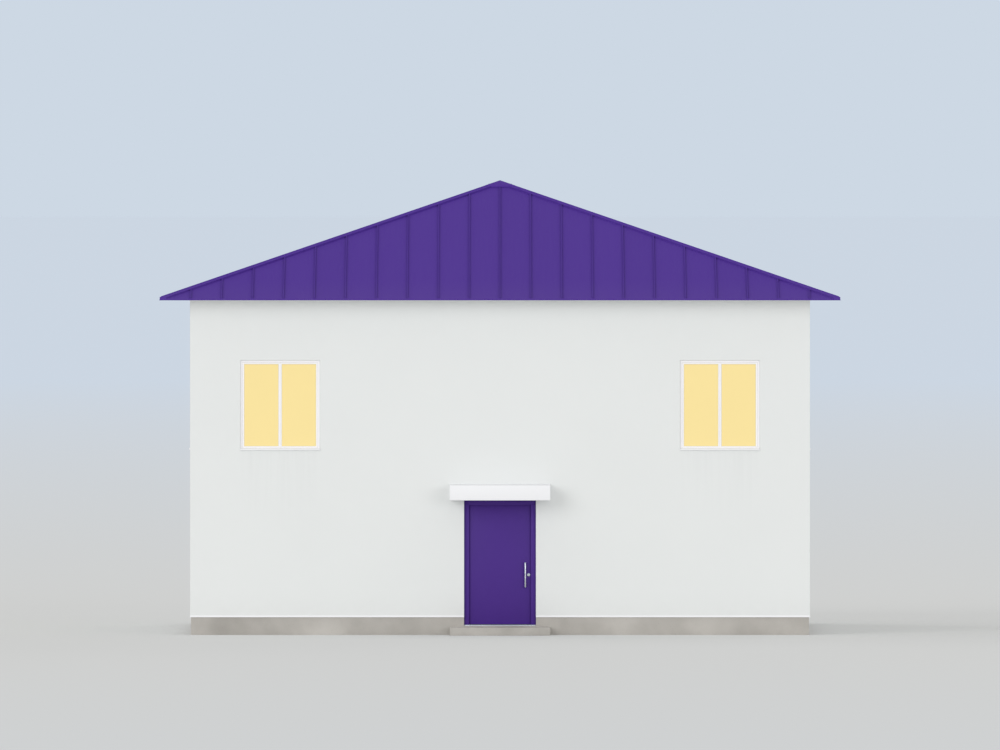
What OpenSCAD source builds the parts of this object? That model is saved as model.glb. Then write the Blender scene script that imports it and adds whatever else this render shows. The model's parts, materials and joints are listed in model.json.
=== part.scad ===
// Detached house: a square body of two storeys in pale render under a low
// pyramid roof of standing-seam sheet. All sizes are in millimetres. The front
// faces -Y, the ground is at z = 0 and the origin is the centre of the plan.

/* [House body] */
// Width across the outer wall faces, left to right
body_w = 10330; // [8200:10:13000]
// Depth across the outer wall faces, front to back
body_d = 10330; // [8200:10:13000]
// Thickness of the outer walls
wall_t = 300; // [240:5:400]
// Height of the eaves line above the ground
eaves_z = 5580; // [5300:10:6400]
// Masonry that stands above the eaves line, behind the soffit
wall_head = 40; // [25:5:60]
// Height of the plinth above the ground
plinth_h = 300; // [200:5:450]
// Set-back of the plinth from the wall face
plinth_inset = 15; // [5:1:30]

/* [Floors] */
// Top of the ground floor above the ground
floor_z = 150; // [120:5:190]
// Top of the upper floor above the ground
upper_floor_z = 2500; // [2470:10:2700]
// Thickness of the upper floor
upper_floor_t = 200; // [160:5:215]
// Thickness of the ceiling under the roof
ceiling_t = 100; // [60:5:160]

/* [Roof] */
// Overhang of the eaves beyond the wall face
overhang = 500; // [430:5:650]
// Height of the roof from the eaves line to its peak
roof_rise = 2000; // [1900:10:2400]
// Upright thickness of the boarding and its sheet
roof_t = 24; // [18:1:34]
// Sheet panels along each half of an eave
panels_half = 11; // [8:1:14]
// Upright height of a standing seam above the sheet
seam_h = 24; // [18:1:26]
// Width of a standing seam's web
seam_web = 6; // [4:1:8]
// Width of the fold along the top of a standing seam
seam_fold_w = 14; // [10:1:20]
// Upright height of that fold
seam_fold_h = 8; // [6:1:12]
// Distance from the eave edge to the end of each seam
seam_end = 20; // [5:1:50]
// Upright height of a hip cap above the sheet
cap_t = 28; // [26:1:36]
// Half width of a hip cap, square to the hip
cap_half = 75; // [50:1:110]
// Reach of the peak cap from the middle of the roof
peak_reach = 260; // [200:5:400]
// Upright height of the peak cap above the hip caps
peak_lip = 10; // [6:1:20]
// Thickness of the soffit boards
soffit_t = 18; // [12:1:24]
// Distance from the eave edge to the nose of the soffit
soffit_nose = 15; // [5:1:25]
// Distance from the wall face to the middle of the soffit's vent slots
vent_out = 150; // [80:10:250]
// Width of a vent slot
vent_w = 12; // [6:1:20]
// Distance from a rafter to the end of a vent slot
vent_end = 60; // [30:5:90]

/* [Roof timbers] */
// Upright depth of a common rafter
rafter_d = 125; // [100:5:140]
// Width of a common rafter
rafter_w = 50; // [38:1:75]
// Half width of a hip rafter
hip_half = 35; // [25:1:45]
// Upright depth of a hip rafter
hip_d = 150; // [130:1:165]
// Half width of the boss that joins the hip rafters
boss_half = 70; // [55:1:100]
// Length of the boss below the boarding
boss_drop = 320; // [200:5:500]
// Width of a wall plate
plate_w = 100; // [75:1:125]
// Depth of the notch that seats a rafter over the edge of its plate
rafter_notch = 20; // [10:1:35]
// Joint between the ends of two wall plates
plate_joint = 1; // [0.5:0.5:3]
// Distance from the outer wall face to a wall plate
plate_back = 100; // [90:1:110]

/* [Windows] */
// Width of a window opening
win_w = 1330; // [900:10:1800]
// Height of a window opening
win_h = 1500; // [1100:10:1700]
// Distance from the eaves line to the head of a window
win_drop = 1000; // [600:10:1050]
// Distance from a corner of the house to the nearer edge of a window
win_corner = 835; // [600:5:1200]
// Set-back of the window frames from the wall face
win_back = 30; // [10:1:110]
// Depth of a window frame
frame_d = 70; // [64:1:90]
// Face width of a window frame
frame_face = 37; // [35:1:60]
// Reach of the stop behind the casements
stop_reach = 12; // [8:1:16]
// Depth of that stop
stop_d = 14; // [10:1:16]
// Bevel along the inner edge of a window frame's face
frame_bevel = 4; // [2:0.5:6]
// Face width of a casement member
sash_face = 24; // [22:1:40]
// Bevels beside the glazing on both faces of a casement
sash_bevel = 6; // [3:0.5:7.5]
// Joint between casement and frame, and between the casements
sash_gap = 3; // [2:0.5:5]
// Set-back of a casement from the front of its frame
sash_back = 4; // [0:1:6]
// Glazing unit thickness
pane_t = 24; // [18:1:26]
// Depth of the groove that holds a glazing unit
pane_bite = 12; // [8:1:15]
// Room between a glazing unit and the bottom of its groove
pane_room = 2; // [1:0.5:4]
// Thickness of the groove's outer lip
pane_lip = 12; // [8:1:12]
// Thickness of a window sill where it meets the frame
sill_t = 25; // [20:1:35]
// Thickness of a window sill at its nose
sill_nose_t = 18; // [14:1:20]
// Reach of a window sill beyond the wall face
sill_reach = 25; // [15:1:45]
// Width and depth of the drip groove under a sill
drip = 6; // [4:0.5:8]

/* [Door] */
// Width of the doorway in the wall
door_w = 1200; // [1000:10:1500]
// Height of the doorway above the ground floor
door_h = 2100; // [2000:10:2120]
// Set-back of the door frame from the wall face
door_back = 60; // [40:5:120]
// Depth of the door frame
jamb_d = 96; // [85:1:110]
// Face width of the door frame
jamb_face = 60; // [45:1:75]
// Reach of the door stop beyond the frame's face
door_stop = 25; // [18:1:32]
// Depth of the door stop
door_stop_d = 30; // [20:1:32]
// Joint between the door and its frame, head and threshold
door_gap = 8; // [7:0.5:10]
// Clearance between the door and its stop
seal_gap = 6; // [5.5:0.5:8]
// Height of the threshold above the ground floor
threshold_h = 20; // [15:1:30]
// Reach of the threshold in front of the door frame
threshold_reach = 20; // [10:1:35]
// Radius of a hinge knuckle
knuckle_r = 9; // [8:0.5:11]
// Radius of a hinge pin
pin_r = 5; // [4:0.5:6]
// Running clearance around a hinge pin
pin_clear = 0.1; // [0.05:0.01:0.1]
// Height of one hinge
hinge_h = 110; // [90:5:150]
// Clearance between the knuckles of one hinge
knuckle_gap = 1; // [0.5:0.5:2]
// Thickness of a hinge plate
hinge_plate_t = 3; // [2:0.5:4]
// Width of a hinge plate
hinge_plate_w = 38; // [30:1:45]
// Distance from the ends of the door to the outer hinges
hinge_inset = 220; // [150:10:300]
// Radius of a pull handle's bar
pull_r = 14; // [10:1:18]
// Length of a pull handle
pull_l = 420; // [300:10:440]
// Height of the middle of a pull handle above the ground floor
pull_z = 850; // [800:10:1100]
// Distance from the door's free edge to its pull handle
pull_inset = 110; // [100:5:160]
// Distance from the door's face to the middle of the pull handle
pull_off = 50; // [40:1:60]
// Radius of a lock rose
rose_r = 26; // [20:1:30]
// Thickness of a lock rose
rose_t = 8; // [5:1:12]
// Distance from the door's free edge to the lock
lock_inset = 55; // [45:1:65]

/* [Canopy and doorstep] */
// Reach of the canopy beyond each side of the doorway
canopy_side = 235; // [100:5:400]
// Height of the canopy
canopy_h = 265; // [160:5:300]
// Reach of the canopy from the wall face
canopy_d = 600; // [400:10:1200]
// Wall thickness of the canopy moulding
canopy_t = 25; // [12:1:40]
// Fall of the canopy's top towards its front
canopy_fall = 15; // [0:1:30]
// Thickness of the canopy's soffit board
canopy_board_t = 12; // [9:1:20]
// Distance from the canopy's lower edge up to its soffit board
canopy_lip = 15; // [5:1:30]
// Reach of the doorstep from the plinth
step_d = 600; // [400:10:1200]
// Drop from the ground floor to the doorstep
step_drop = 15; // [5:1:30]
// Bevel along the top edges of the doorstep
step_bevel = 12; // [5:1:20]

/* [Hidden] */
$fn = 48;

// Colours
render_c = [0.91, 0.918, 0.914];
trim_c = [0.957, 0.957, 0.965];
roof_c = [0.333, 0.227, 0.569];
door_c = [0.294, 0.2, 0.506];
glass_c = [0.988, 0.898, 0.624];
stone_c = [0.72, 0.7, 0.67];
timber_c = [0.76, 0.62, 0.44];
metal_c = [0.72, 0.73, 0.75];

// Levels
wall_top = eaves_z + wall_head;
door_head_z = floor_z + door_h;
win_head_z = eaves_z - win_drop;
win_sill_z = win_head_z - win_h;
under_rise = roof_rise - roof_t - cap_t - peak_lip;
sky = eaves_z + 2 * roof_rise;

// Each side of the house is drawn as the front and then turned into place.
SIDES = ["front", "right", "back", "left"];
function is_end(side) = side == "right" || side == "left";
function side_turn(side) = side == "front" ? 0 : side == "right" ? 90 : side == "back" ? 180 : -90;
function side_width(side) = is_end(side) ? body_d : body_w;
function side_run(side) = (is_end(side) ? body_w : body_d) / 2;
function eave_run(side) = side_run(side) + overhang;
function eave_half(side) = side_width(side) / 2 + overhang;
function roof_slope(side) = under_rise / eave_run(side);

// Turns the front into one side of the house, with the outer wall face at y = 0
module on_side(side)
    rotate([0, 0, side_turn(side)]) translate([0, -side_run(side), 0]) children();

// Outline in the y-z plane, drawn out along x about the middle
module along_x(length)
    rotate([90, 0, 90]) linear_extrude(height = length, center = true) children();

module box(x0, x1, y0, y1, z0, z1)
    translate([x0, y0, z0]) cube([x1 - x0, y1 - y0, z1 - z0]);

// Frame of four mitred members that stands in the x-z plane, with its middle at
// x = 0. Its profile gives the distance in from the outer edge, then the depth.
module mitred_frame(w, h, z0, profile) {
    depth = max([for (point = profile) point[1]]);
    reach = max([for (point = profile) point[0]]);
    translate([0, 0, z0 + h / 2]) for (s = [0, 1]) {
        mirror([s, 0, 0]) intersection() {
            translate([-w / 2, 0, 0]) linear_extrude(height = h, center = true) polygon(profile);
            mitre(h, w, depth, reach);
        }
        mirror([0, 0, s]) intersection() {
            translate([0, 0, -h / 2]) rotate([0, -90, 0])
                linear_extrude(height = w, center = true) polygon(profile);
            rotate([0, -90, 0]) mitre(w, h, depth, reach);
        }
    }
}

// Space of one member, cut at 45 degrees at both ends
module mitre(length, across, depth, reach)
    rotate([90, 0, 0]) mirror([0, 0, 1]) linear_extrude(height = 2 * depth, center = true) polygon([
        [-across / 2, -length / 2], [-across / 2 + reach, reach - length / 2],
        [-across / 2 + reach, length / 2 - reach], [-across / 2, length / 2]
    ]);

// Floors

module inner_slab(z0, z1)
    box(-body_w / 2 + wall_t, body_w / 2 - wall_t, -body_d / 2 + wall_t, body_d / 2 - wall_t, z0, z1);

module ground_floor() color(stone_c) inner_slab(0, floor_z);
module upper_floor() color(stone_c) inner_slab(upper_floor_z - upper_floor_t, upper_floor_z);
module ceiling() color(trim_c) inner_slab(eaves_z - ceiling_t, eaves_z);

// Plinth and walls

// Length of a side's wall or plinth: the end walls stand between the other two
function wall_length(side, inset) = side_width(side) - 2 * (is_end(side) ? wall_t : inset);

module plinth(side) color(stone_c) on_side(side) {
    half = wall_length(side, plinth_inset) / 2;
    if (side == "front") {
        box(-half, -door_w / 2, plinth_inset, wall_t, 0, plinth_h);
        box(door_w / 2, half, plinth_inset, wall_t, 0, plinth_h);
    } else
        box(-half, half, plinth_inset, wall_t, 0, plinth_h);
}

module side_plinths() for (side = ["right", "left"]) plinth(side);

// Distance from the middle of a side to the middle of its windows
function win_x(side) = side_width(side) / 2 - win_corner - win_w / 2;

module at_windows(side) on_side(side)
    for (s = [-1, 1]) translate([s * win_x(side), 0, 0]) children();

module window_holes(side) at_windows(side)
    box(-win_w / 2, win_w / 2, -1, wall_t + 1, win_sill_z, win_head_z);

module wall(side, x0, x1, z0) color(render_c) difference() {
    on_side(side) box(x0, x1, 0, wall_t, z0, wall_top);
    window_holes(side);
}

module plain_wall(side) {
    half = wall_length(side, 0) / 2;
    wall(side, -half, half, plinth_h);
}

module front_wall_left() wall("front", -body_w / 2, -door_w / 2, plinth_h);
module front_wall_right() wall("front", door_w / 2, body_w / 2, plinth_h);
module front_wall_over_door() wall("front", -door_w / 2, door_w / 2, door_head_z);

// Roof

// The plan under one side's roof, from the eave to the peak. It is narrower by
// the inset, measured square to the two hips.
module sector(side, inset = 0) {
    run = eave_run(side);
    half = eave_half(side);
    hip = norm([run, half]);
    linear_extrude(height = sky) polygon([
        [0, -inset * hip / half],
        [-half + inset * hip / run, -run],
        [half - inset * hip / run, -run]
    ]);
}

// A layer that follows one side's roof, between two heights above the underside
// of the boarding
module layer(side, low, high, length) {
    run = eave_run(side);
    along_x(length) polygon([
        [-run, eaves_z + low], [0, eaves_z + under_rise + low],
        [0, eaves_z + under_rise + high], [-run, eaves_z + high]
    ]);
}

module covering(side, low, high)
    rotate([0, 0, side_turn(side)]) intersection() {
        layer(side, low, high, 2 * eave_half(side));
        sector(side);
    }

module seams(side) {
    pitch = eave_half(side) / panels_half;
    last = panels_half - 1;
    difference() {
        rotate([0, 0, side_turn(side)]) intersection() {
            for (i = [-last : last]) translate([i * pitch, 0, 0]) {
                layer(side, roof_t / 2, roof_t + seam_h, seam_web);
                layer(side, roof_t + seam_h - seam_fold_h, roof_t + seam_h, seam_fold_w);
            }
            sector(side, cap_half);
            box(-eave_half(side), eave_half(side), seam_end - eave_run(side), 0, 0, sky);
        }
        peak_prism();
    }
}

module roof(side) color(roof_c) {
    covering(side, 0, roof_t);
    seams(side);
}

// Strip of plan along the hip on the right of the front, or the others by turn
module hip_strip(corner, half_width) {
    rx = body_w / 2 + overhang;
    ry = body_d / 2 + overhang;
    sx = corner < 2 ? 1 : -1;
    sy = corner == 1 || corner == 2 ? 1 : -1;
    rotate([0, 0, atan2(sy * ry, sx * rx)]) translate([0, -half_width, 0])
        cube([norm([rx, ry]), 2 * half_width, sky]);
}

// A layer over both roofs beside one hip, within a strip along that hip
module along_hip(corner, low, high, half_width) {
    a = SIDES[corner];
    b = SIDES[(corner + 1) % 4];
    intersection() {
        union() {
            covering(a, low, high);
            covering(b, low, high);
        }
        hip_strip(corner, half_width);
    }
}

module peak_prism() {
    share = peak_reach / (body_w / 2 + overhang);
    half_y = share * (body_d / 2 + overhang);
    box(-peak_reach, peak_reach, -half_y, half_y, eaves_z, sky);
}

module hip_caps() color(roof_c) difference() {
    for (corner = [0 : 3]) along_hip(corner, roof_t, roof_t + cap_t, cap_half);
    peak_prism();
}

module peak_cap() color(roof_c) intersection() {
    union() for (side = SIDES) covering(side, roof_t, roof_t + cap_t + peak_lip);
    peak_prism();
}

// A soffit board's outer edge is planed to the slope of the boarding above it.
module soffit(side) color(trim_c) rotate([0, 0, side_turn(side)]) difference() {
    run = eave_run(side);
    slope = roof_slope(side);
    intersection() {
        along_x(2 * eave_half(side)) polygon([
            [-run + soffit_nose, eaves_z], [-run + overhang, eaves_z],
            [-run + overhang, eaves_z + soffit_t], [-run + soffit_t / slope, eaves_z + soffit_t],
            [-run + soffit_nose, eaves_z + soffit_nose * slope]
        ]);
        sector(side);
    }
    vent_slots(side);
}

// One slot lets air in between each two rafters.
module vent_slots(side) {
    pitch = eave_half(side) / panels_half;
    half = (pitch - rafter_w) / 2 - vent_end;
    last = floor((side_width(side) / 2 - half) / pitch);
    middle = -side_run(side) - vent_out;
    for (i = [-last : last]) translate([i * pitch, 0, 0])
        box(-half, half, middle - vent_w / 2, middle + vent_w / 2, 0, sky);
}

// Roof timbers

// Top of a plate, which leaves the rafters above it their notch
function plate_top(side) = eaves_z + roof_slope(side) * (overhang + plate_back) - rafter_d + rafter_notch;

// The end plates stop just short of the front and back plates.
module plates() for (side = SIDES) {
    half = side_width(side) / 2 - plate_back - (is_end(side) ? plate_w + plate_joint : 0);
    on_side(side) box(-half, half, plate_back, plate_back + plate_w, wall_top, plate_top(side));
}

module wall_plates() color(timber_c) plates();

// Everything that a rafter is cut over: the soffit under its tail, the head of
// the wall and the plates
module rafter_notches() {
    rx = body_w / 2 + overhang;
    ry = body_d / 2 + overhang;
    box(-rx, rx, -ry, ry, 0, eaves_z + soffit_t);
    box(-body_w / 2, body_w / 2, -body_d / 2, body_d / 2, 0, wall_top);
    plates();
}

// A rafter stands under the middle of each sheet panel that reaches its plate.
module rafters(side) {
    pitch = eave_half(side) / panels_half;
    count = floor((side_width(side) / 2 - plate_back - plate_w) / pitch - 0.5);
    rotate([0, 0, side_turn(side)]) intersection() {
        for (i = [-count - 1 : count])
            translate([(i + 0.5) * pitch, 0, 0]) layer(side, -rafter_d, 0, rafter_w);
        sector(side, hip_half);
    }
}

module common_rafters() color(timber_c) difference() {
    for (side = SIDES) rafters(side);
    rafter_notches();
    boss_prism();
}

module boss_prism() box(-boss_half, boss_half, -boss_half, boss_half, eaves_z, sky);

module hip_rafters() color(timber_c) difference() {
    for (corner = [0 : 3]) along_hip(corner, -hip_d, 0, hip_half);
    rafter_notches();
    boss_prism();
}

module peak_boss() color(timber_c) intersection() {
    union() for (side = SIDES) covering(side, -boss_drop, 0);
    boss_prism();
    box(-boss_half, boss_half, -boss_half, boss_half, eaves_z + under_rise - boss_drop, sky);
}

// Windows

light_w = win_w - 2 * frame_face;
light_h = win_h - 2 * frame_face;
sash_w = (light_w - 3 * sash_gap) / 2;
sash_h = light_h - 2 * sash_gap;
sash_z = win_sill_z + frame_face + sash_gap;
sash_y0 = win_back + sash_back;
sash_d = frame_d - sash_back - stop_d;

module window_frame() translate([0, win_back, 0])
    mitred_frame(win_w, win_h, win_sill_z, [
        [0, 0], [frame_face - frame_bevel, 0], [frame_face, frame_bevel],
        [frame_face, frame_d - stop_d], [frame_face + stop_reach, frame_d - stop_d],
        [frame_face + stop_reach, frame_d], [0, frame_d]
    ]);

// Casements stand in pairs on each side of the middle of the frame.
module at_sashes() for (s = [-1, 1])
    translate([s * (sash_w + sash_gap) / 2, 0, 0]) children();

// A casement's members grip the glazing in a groove.
module sash() translate([0, sash_y0, 0])
    mitred_frame(sash_w, sash_h, sash_z, [
        [0, 0], [sash_face - sash_bevel, 0], [sash_face, sash_bevel], [sash_face, pane_lip],
        [sash_face - pane_bite, pane_lip], [sash_face - pane_bite, pane_lip + pane_t],
        [sash_face, pane_lip + pane_t], [sash_face, sash_d - sash_bevel],
        [sash_face - sash_bevel, sash_d], [0, sash_d]
    ]);

module pane() {
    edge = sash_face - pane_bite + pane_room;
    box(edge - sash_w / 2, sash_w / 2 - edge, sash_y0 + pane_lip, sash_y0 + pane_lip + pane_t,
        sash_z + edge, sash_z + sash_h - edge);
}

// A sill stands against the foot of the frame, falls towards its nose and has a drip groove behind that.
module sill() difference() {
    along_x(win_w) polygon([
        [-sill_reach, win_sill_z], [win_back, win_sill_z],
        [win_back, win_sill_z + sill_t], [-sill_reach, win_sill_z + sill_nose_t]
    ]);
    box(-win_w, win_w, -sill_reach + drip, -sill_reach + 2 * drip, win_sill_z - 1, win_sill_z + drip);
}

module window_frames(side) color(trim_c) at_windows(side) window_frame();
module casements() color(trim_c) for (side = SIDES) at_windows(side) at_sashes() sash();
module window_panes() color(glass_c) for (side = SIDES) at_windows(side) at_sashes() pane();
module window_sills() color(trim_c) for (side = SIDES) at_windows(side) sill();

// Door

jamb_y0 = door_back;
jamb_y1 = door_back + jamb_d;
leaf_y0 = jamb_y0 + door_stop_d + seal_gap;
leaf_z0 = floor_z + threshold_h + door_gap;
leaf_z1 = door_head_z - jamb_face - door_gap;
leaf_half = door_w / 2 - jamb_face - door_gap;
hinge_x = -leaf_half - door_gap / 2;
hinge_y = jamb_y1 + knuckle_r + 1;

// Section of the frame on the right of the doorway, seen from above
module jamb_section() polygon([
    [door_w / 2, jamb_y0], [door_w / 2, jamb_y1], [door_w / 2 - jamb_face, jamb_y1],
    [door_w / 2 - jamb_face, jamb_y0 + door_stop_d],
    [door_w / 2 - jamb_face - door_stop, jamb_y0 + door_stop_d],
    [door_w / 2 - jamb_face - door_stop, jamb_y0]
]);

module jamb() translate([0, 0, floor_z + threshold_h])
    linear_extrude(height = door_h - threshold_h - jamb_face) jamb_section();

module door_jambs() color(door_c) on_side("front") {
    jamb();
    mirror([1, 0, 0]) jamb();
}

module door_head() color(door_c) on_side("front") {
    under = door_head_z - jamb_face;
    stop_end = door_w / 2 - jamb_face - door_stop;
    box(-door_w / 2, door_w / 2, jamb_y0, jamb_y1, under, door_head_z);
    box(-stop_end, stop_end, jamb_y0, jamb_y0 + door_stop_d, under - door_stop, door_head_z);
}

module door_threshold() color(metal_c) on_side("front") {
    top = floor_z + threshold_h;
    along_x(door_w) polygon([
        [jamb_y0 - threshold_reach, floor_z], [jamb_y1, floor_z], [jamb_y1, top],
        [jamb_y0, top], [jamb_y0 - threshold_reach, top - threshold_h / 3]
    ]);
}

module threshold_block() color(stone_c) on_side("front")
    box(-door_w / 2, door_w / 2, plinth_inset, wall_t, 0, floor_z);

module door_leaf() color(door_c) on_side("front")
    box(-leaf_half, leaf_half, leaf_y0, jamb_y1, leaf_z0, leaf_z1);

// The hinges are spread evenly between the upper and the lower one.
module at_hinges() {
    first = leaf_z0 + hinge_inset;
    step = (leaf_z1 - leaf_z0 - 2 * hinge_inset - hinge_h) / 2;
    on_side("front") for (i = [0 : 2]) translate([hinge_x, hinge_y, first + i * step]) children();
}

third = hinge_h / 3;

// Plate on the room side of the frame, cut back beside the door's knuckle
module frame_hinge_leaf() {
    face_y = jamb_y1 - hinge_y;
    edge = -door_gap / 2 - 1;
    difference() {
        box(edge - hinge_plate_w, edge + 2, face_y, face_y + hinge_plate_t, 0, hinge_h);
        box(-knuckle_r - 2, edge + 3, face_y - 1, face_y + hinge_plate_t + 1, third, 2 * third);
    }
    for (z = [0, 2 * third]) translate([0, 0, z]) cylinder(r = knuckle_r, h = third);
    cylinder(r = pin_r, h = hinge_h);
}

module door_hinge_leaf() {
    face_y = jamb_y1 - hinge_y;
    edge = door_gap / 2 + 1;
    clear = knuckle_r + 3;
    bore = pin_r + pin_clear;
    difference() {
        union() {
            box(clear, clear + hinge_plate_w, face_y, face_y + hinge_plate_t, 0, hinge_h);
            box(edge, clear + 1, face_y, face_y + hinge_plate_t, third + knuckle_gap, 2 * third - knuckle_gap);
            translate([0, 0, third + knuckle_gap]) cylinder(r = knuckle_r, h = third - 2 * knuckle_gap);
        }
        translate([0, 0, -1]) cylinder(r = bore, h = hinge_h + 2);
    }
}

module hinge_frame_leaves() color(metal_c) at_hinges() frame_hinge_leaf();
module hinge_door_leaves() color(metal_c) at_hinges() door_hinge_leaf();

// One pull handle on a face of the door, which points to -y
module pull() {
    bar_z = pull_z + floor_z - pull_l / 2;
    translate([0, -pull_off, bar_z]) cylinder(r = pull_r, h = pull_l);
    for (z = [pull_l / 6, 5 * pull_l / 6]) translate([0, 0, bar_z + z])
        rotate([90, 0, 0]) cylinder(r = pull_r * 0.7, h = pull_off);
}

// Copies a piece that stands on the outer face of the door onto its inner face
module on_both_faces() on_side("front") {
    translate([0, leaf_y0, 0]) children();
    translate([0, jamb_y1, 0]) mirror([0, 1, 0]) children();
}

module door_pulls() color(metal_c) on_both_faces()
    translate([leaf_half - pull_inset, 0, 0]) pull();

module lock_roses() color(metal_c) on_both_faces()
    translate([leaf_half - lock_inset, 0, pull_z + floor_z]) rotate([90, 0, 0]) cylinder(r = rose_r, h = rose_t);

// Canopy and doorstep

canopy_half = door_w / 2 + canopy_side;
canopy_top = door_head_z + canopy_h;

// One moulding with three skirts, open below and towards the wall
module canopy_shell() color(trim_c) on_side("front") difference() {
    along_x(2 * canopy_half) polygon([
        [-canopy_d, door_head_z], [0, door_head_z], [0, canopy_top], [-canopy_d, canopy_top - canopy_fall]
    ]);
    along_x(2 * (canopy_half - canopy_t)) polygon([
        [canopy_t - canopy_d, door_head_z - 1], [1, door_head_z - 1],
        [1, canopy_top - canopy_t], [canopy_t - canopy_d, canopy_top - canopy_t - canopy_fall]
    ]);
}

module canopy_soffit() color(trim_c) on_side("front")
    box(canopy_t - canopy_half, canopy_half - canopy_t, canopy_t - canopy_d, 0,
        door_head_z + canopy_lip, door_head_z + canopy_lip + canopy_board_t);

module doorstep() color(stone_c) on_side("front") {
    top = floor_z - step_drop;
    front = plinth_inset - step_d;
    difference() {
        box(-canopy_half, canopy_half, front, plinth_inset, 0, top);
        for (s = [-1, 1]) translate([s * canopy_half, 0, top]) rotate([0, 45, 0])
            cube([step_bevel * sqrt(2), 3 * step_d, step_bevel * sqrt(2)], center = true);
        translate([0, front, top]) rotate([45, 0, 0])
            cube([3 * canopy_half, step_bevel * sqrt(2), step_bevel * sqrt(2)], center = true);
    }
}

ground_floor();
upper_floor();
ceiling();
plinth("front");  // front_plinth
plinth("back");  // back_plinth
side_plinths();
front_wall_left();
front_wall_right();
front_wall_over_door();
plain_wall("right");  // right_wall
plain_wall("back");  // back_wall
plain_wall("left");  // left_wall
roof("front");  // front_roof
roof("right");  // right_roof
roof("back");  // back_roof
roof("left");  // left_roof
hip_caps();
peak_cap();
soffit("front");  // front_soffit
soffit("right");  // right_soffit
soffit("back");  // back_soffit
soffit("left");  // left_soffit
wall_plates();
hip_rafters();
peak_boss();
common_rafters();
window_frames("front");  // front_window_frames
window_frames("right");  // right_window_frames
window_frames("back");  // back_window_frames
window_frames("left");  // left_window_frames
casements();
window_panes();
window_sills();
door_jambs();
door_head();
door_threshold();
threshold_block();
door_leaf();
hinge_frame_leaves();
hinge_door_leaves();
door_pulls();
lock_roses();
canopy_shell();
canopy_soffit();
doorstep();
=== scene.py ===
import json
import math

import bmesh
import bpy
import numpy as np
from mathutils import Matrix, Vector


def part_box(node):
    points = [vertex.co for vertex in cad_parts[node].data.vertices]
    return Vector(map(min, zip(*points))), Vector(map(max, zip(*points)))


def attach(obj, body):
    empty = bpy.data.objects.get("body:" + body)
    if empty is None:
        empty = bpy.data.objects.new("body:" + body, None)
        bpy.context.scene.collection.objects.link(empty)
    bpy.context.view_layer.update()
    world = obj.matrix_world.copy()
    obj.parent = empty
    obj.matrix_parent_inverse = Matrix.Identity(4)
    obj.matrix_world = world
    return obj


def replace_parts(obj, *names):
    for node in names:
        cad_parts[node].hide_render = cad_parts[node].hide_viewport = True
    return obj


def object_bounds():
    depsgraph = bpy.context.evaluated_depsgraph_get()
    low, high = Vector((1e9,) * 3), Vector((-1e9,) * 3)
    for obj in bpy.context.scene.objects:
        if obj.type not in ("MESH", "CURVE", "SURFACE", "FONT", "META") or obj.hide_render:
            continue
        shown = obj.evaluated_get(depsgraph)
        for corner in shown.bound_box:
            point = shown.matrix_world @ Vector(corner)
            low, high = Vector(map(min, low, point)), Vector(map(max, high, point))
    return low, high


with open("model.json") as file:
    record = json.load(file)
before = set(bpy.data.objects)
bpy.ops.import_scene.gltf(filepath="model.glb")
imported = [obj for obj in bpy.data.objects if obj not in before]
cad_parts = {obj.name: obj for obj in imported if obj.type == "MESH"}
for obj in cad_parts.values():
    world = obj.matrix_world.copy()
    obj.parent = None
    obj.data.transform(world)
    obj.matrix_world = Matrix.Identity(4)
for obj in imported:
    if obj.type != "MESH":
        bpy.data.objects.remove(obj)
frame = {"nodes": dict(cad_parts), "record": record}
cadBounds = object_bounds()
nodes = frame["nodes"]
record = frame["record"]
print("frame loaded:", len(nodes), "nodes")

# What the record says of each node: the slot that it takes its finish from, and the body that carries it
slotOf = {part["node"]: part["material_slot"] for part in record["subparts"]}
bodyOf = {node: body for body, members in record["behaviour"]["bodies"].items() for node in members}


# Camera. The photograph is a flat front at one scale, so the camera stands far off with a long lens. It
# stands as high as the peak, which keeps the peak's height on the picture though it lies behind the front.
photo = {
    "width": 1000,          # pixels
    "height": 750,
    "pixelsPerMetre": 60,
    "groundRow": 635,       # row where the walls reach the ground
    "distance": 400,        # metres in front of the front wall
    "sensor": 36,           # millimetres
    "farthest": 5000,       # metres that the camera sees
}


# An object of its data, put in the scene
def placed(name, data):
    thing = bpy.data.objects.new(name, data)
    bpy.context.scene.collection.objects.link(thing)
    return thing


def makeCamera(view, wallFace, eyeHeight):
    lens = bpy.data.cameras.new("camera")
    lens.sensor_width = view["sensor"]
    lens.lens = view["distance"] * view["pixelsPerMetre"] / view["width"] * view["sensor"]
    lens.clip_end = view["farthest"]
    camera = placed("camera", lens)
    aimHeight = (view["groundRow"] - view["height"] / 2) / view["pixelsPerMetre"]
    down = math.atan((eyeHeight - aimHeight) / view["distance"])
    camera.location = (0, wallFace - view["distance"], eyeHeight)
    camera.rotation_euler = (math.pi / 2 - down, 0, 0)
    bpy.context.scene.camera = camera


# Sizes that the frame gives, in metres. The roof is a pyramid over a rectangle. A box is its lowest and its
# highest corner, here and everywhere below.
def boxOf(node):
    return np.array(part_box(node))


def lowest(node):
    return boxOf(node)[0]


def highest(node):
    return boxOf(node)[1]


wallX, wallY = highest("right_wall")[0], highest("back_wall")[1]
eaveX, eaveY = highest("right_roof")[0], highest("back_roof")[1]
wallDepth = wallX - lowest("right_wall")[0]
wallFoot = lowest("right_wall")[2]
eavesZ = lowest("front_roof")[2]
peakZ = highest("peak_boss")[2]
sheetTop = highest("front_roof")[2] - peakZ
peakReach = highest("peak_cap")[0]
sillTop = highest("window_sills")[2]
hipLength = math.hypot(eaveX, eaveY)


# Height of the roof boards' underside over a place in plan, falling evenly from the peak to the eaves
def roofHeight(x, y):
    return peakZ - (peakZ - eavesZ) * np.maximum(abs(x) / eaveX, abs(y) / eaveY)


capTop = highest("hip_caps")[2] - roofHeight(peakReach, 0)

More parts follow.
